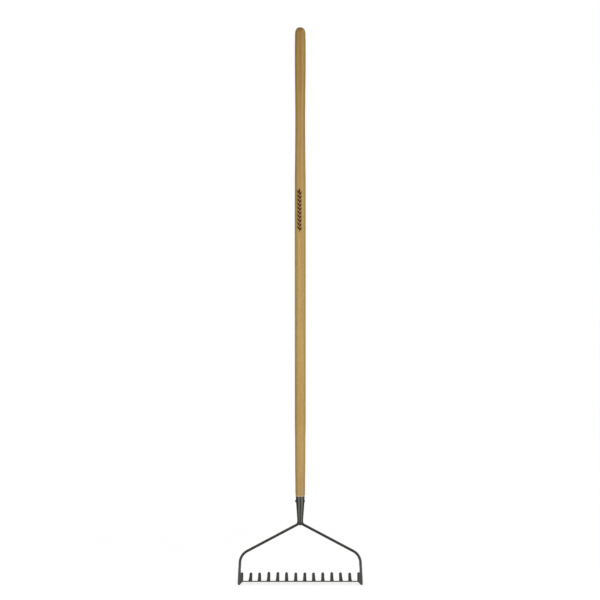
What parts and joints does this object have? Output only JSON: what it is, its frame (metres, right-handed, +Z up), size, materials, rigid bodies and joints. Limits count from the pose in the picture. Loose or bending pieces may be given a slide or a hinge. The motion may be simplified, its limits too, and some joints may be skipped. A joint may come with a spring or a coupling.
{
  "type": "bow rake",
  "caption": "Long-handled garden bow rake: ash handle in a riveted tapered socket, round steel bow, flat bar with curved tines.",
  "frame": {"origin": "middle of the tine bar's flat back edge, the edge used for levelling", "axes": "+Z up the handle, +X along the bar, +Y the way the tines point"},
  "size_m": [0.3484, 0.0818, 1.5529],
  "materials": {
    "ash_wood": "oiled satin",
    "grey_steel": "semi-gloss grey coating",
    "rivet_steel": "semi-gloss grey coating, rubbed",
    "weld_steel": "coated weld, uneven"
  },
  "bodies": {
    "root": {"handle": "ash_wood", "socket": "grey_steel", "socket_rivet": "rivet_steel", "socket_weld": "weld_steel", "bow_arm_left": "grey_steel", "bow_arm_right": "grey_steel", "tine_bar": "grey_steel", "bar_weld_left": "weld_steel", "bar_weld_right": "weld_steel", "tine_01": "grey_steel", "tine_02": "grey_steel", "tine_03": "grey_steel", "tine_04": "grey_steel", "tine_05": "grey_steel", "tine_06": "grey_steel", "tine_07": "grey_steel", "tine_08": "grey_steel", "tine_09": "grey_steel", "tine_10": "grey_steel", "tine_11": "grey_steel", "tine_12": "grey_steel", "tine_13": "grey_steel", "tine_14": "grey_steel"}
  },
  "joints": []
}
